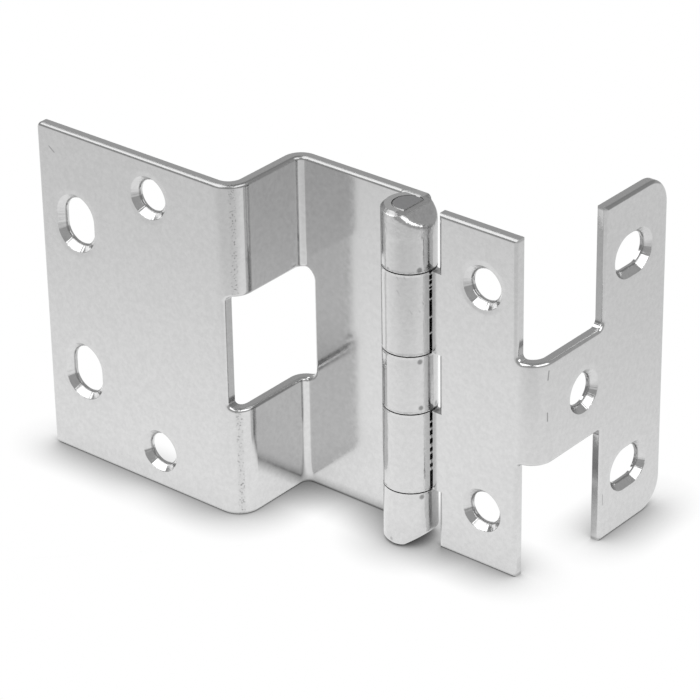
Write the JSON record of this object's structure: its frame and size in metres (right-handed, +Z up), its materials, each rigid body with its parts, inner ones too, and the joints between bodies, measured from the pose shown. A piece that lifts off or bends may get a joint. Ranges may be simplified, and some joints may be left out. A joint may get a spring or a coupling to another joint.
{
  "type": "institutional hinge",
  "caption": "Wrap-around institutional hinge for an overlay door, with curled knuckles, a slanted-end barrel, a windowed frame leaf and an H-shaped door leaf.",
  "frame": {"origin": "on the pin axis, at the level lower end face of the barrel, on which the hinge stands", "axes": "+Z up along the pin, +X along the plates from the frame leaf towards the door leaf as the leaves lie spread flat, +Y from the countersunk faces of the plates towards the wood"},
  "size_m": [0.1073, 0.0552, 0.0698],
  "materials": {
    "frame_leaf": "satin chrome plate",
    "door_leaf": "satin chrome plate",
    "hinge_pin": "satin"
  },
  "bodies": {
    "frame": {"frame_leaf": "frame_leaf", "hinge_pin": "hinge_pin"},
    "door": {"door_leaf": "door_leaf"}
  },
  "joints": [
    {"name": "door_swing", "type": "hinge", "parent": "frame", "child": "door", "pos_m": [0, 0, 0.03492], "axis": [0, 0, 1], "range_deg": [-180, 90]}
  ]
}
